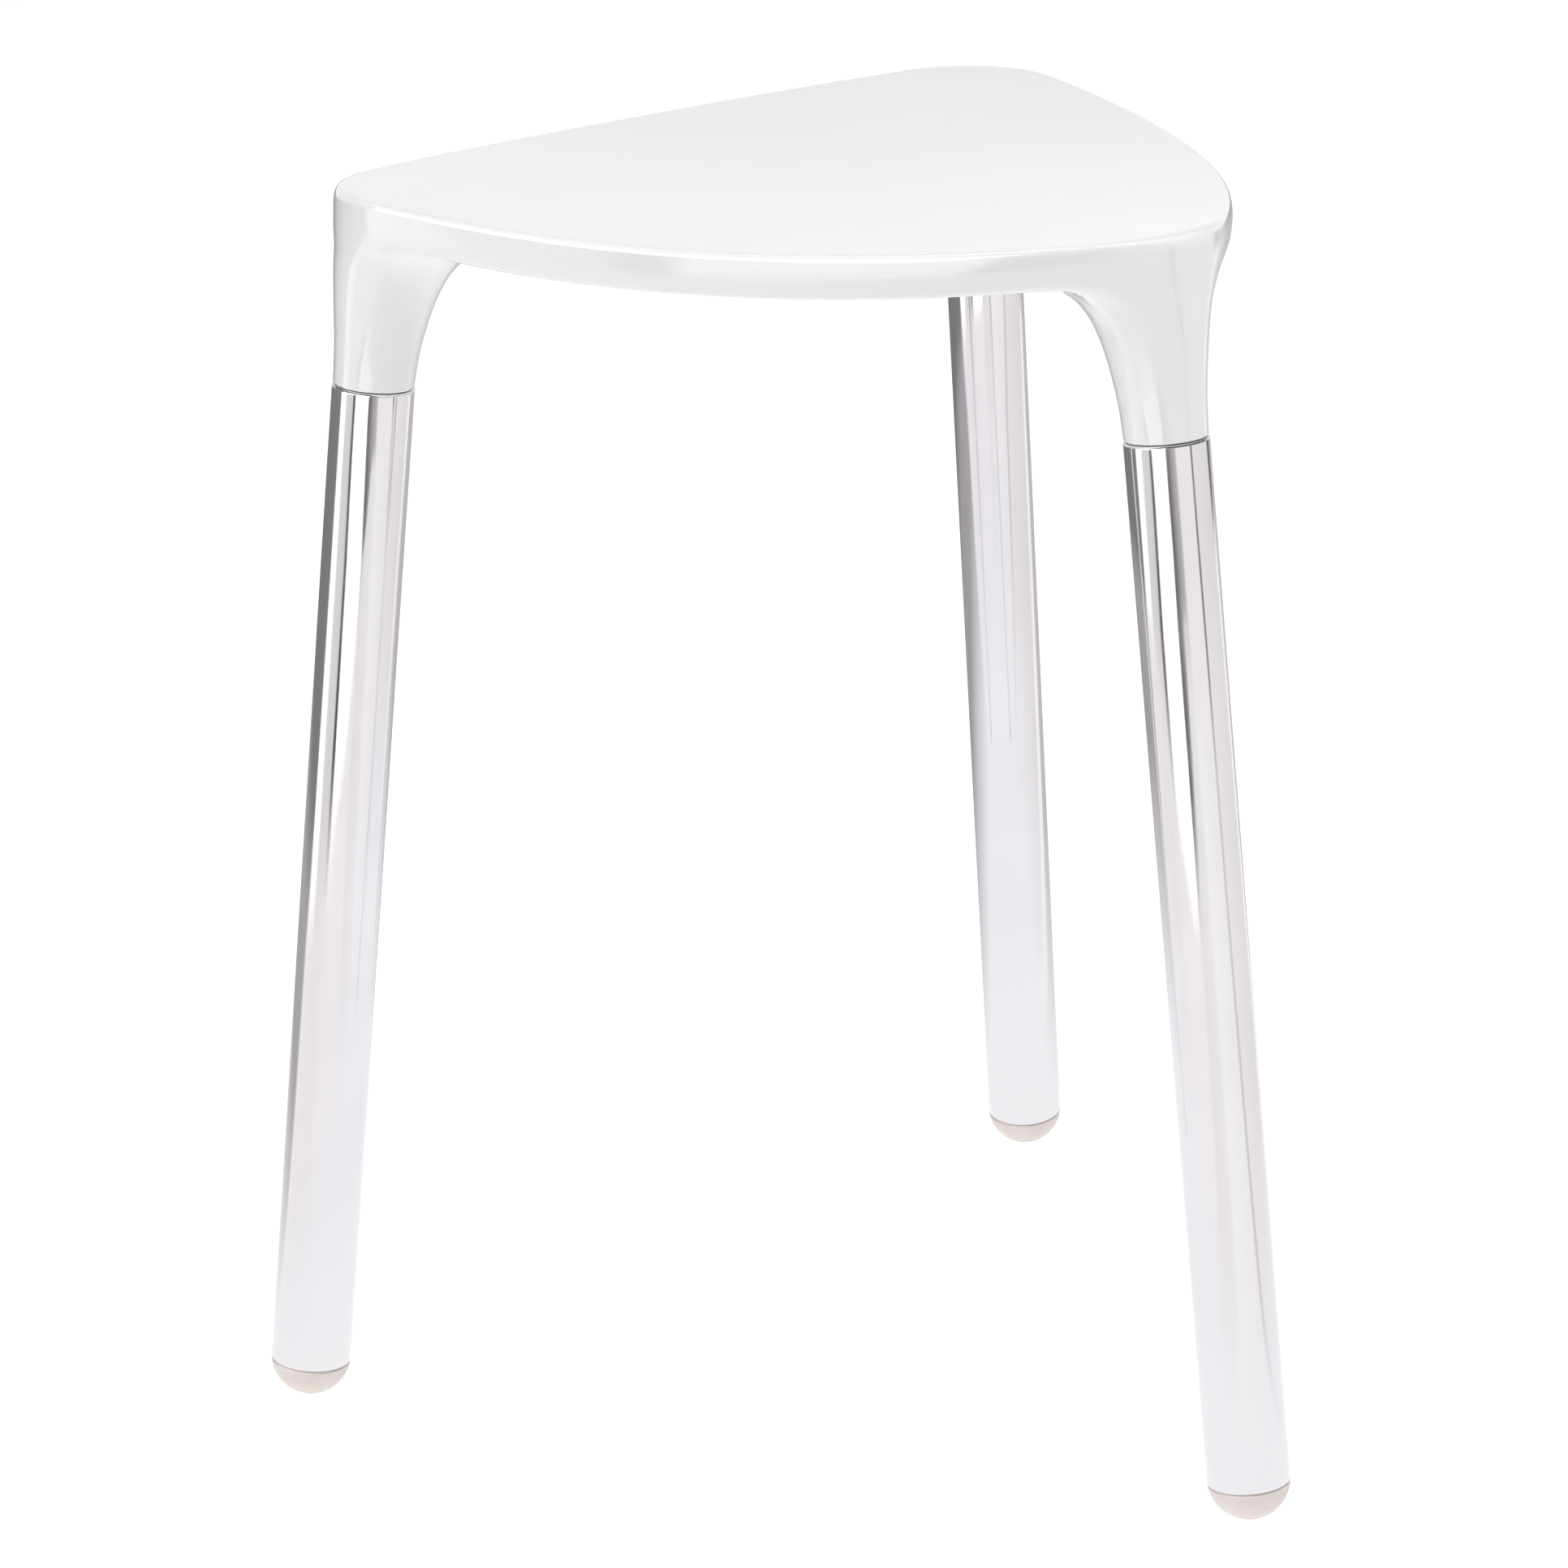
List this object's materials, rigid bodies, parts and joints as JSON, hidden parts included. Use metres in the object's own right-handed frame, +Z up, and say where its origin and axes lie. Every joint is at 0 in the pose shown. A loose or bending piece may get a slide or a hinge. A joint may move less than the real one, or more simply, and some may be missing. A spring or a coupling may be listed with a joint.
{
  "type": "shower stool",
  "caption": "Low shower stool: dished triangular moulded seat with corner sockets, splayed plated tube legs and domed rubber feet.",
  "frame": {"origin": "on the floor, at the middle of the stool's overall box", "axes": "+Z up, -Y towards the straight front side of the seat, +Y towards the back leg, +X to the right seen from the front"},
  "size_m": [0.373, 0.3401, 0.4347],
  "materials": {
    "seat_plastic": "high gloss white moulding",
    "tube_chrome": "polished plating",
    "foot_rubber": "pale grey, satin",
    "plug_nylon": "as moulded",
    "insert_brass": "turned",
    "stud_steel": "zinc plated"
  },
  "bodies": {
    "root": {"seat_shell": "seat_plastic", "socket_insert_front_left": "insert_brass", "leg_stud_front_left": "stud_steel", "leg_plug_front_left": "plug_nylon", "leg_tube_front_left": "tube_chrome", "foot_front_left": "foot_rubber", "socket_insert_front_right": "insert_brass", "leg_stud_front_right": "stud_steel", "leg_plug_front_right": "plug_nylon", "leg_tube_front_right": "tube_chrome", "foot_front_right": "foot_rubber", "socket_insert_back": "insert_brass", "leg_stud_back": "stud_steel", "leg_plug_back": "plug_nylon", "leg_tube_back": "tube_chrome", "foot_back": "foot_rubber"}
  },
  "joints": []
}
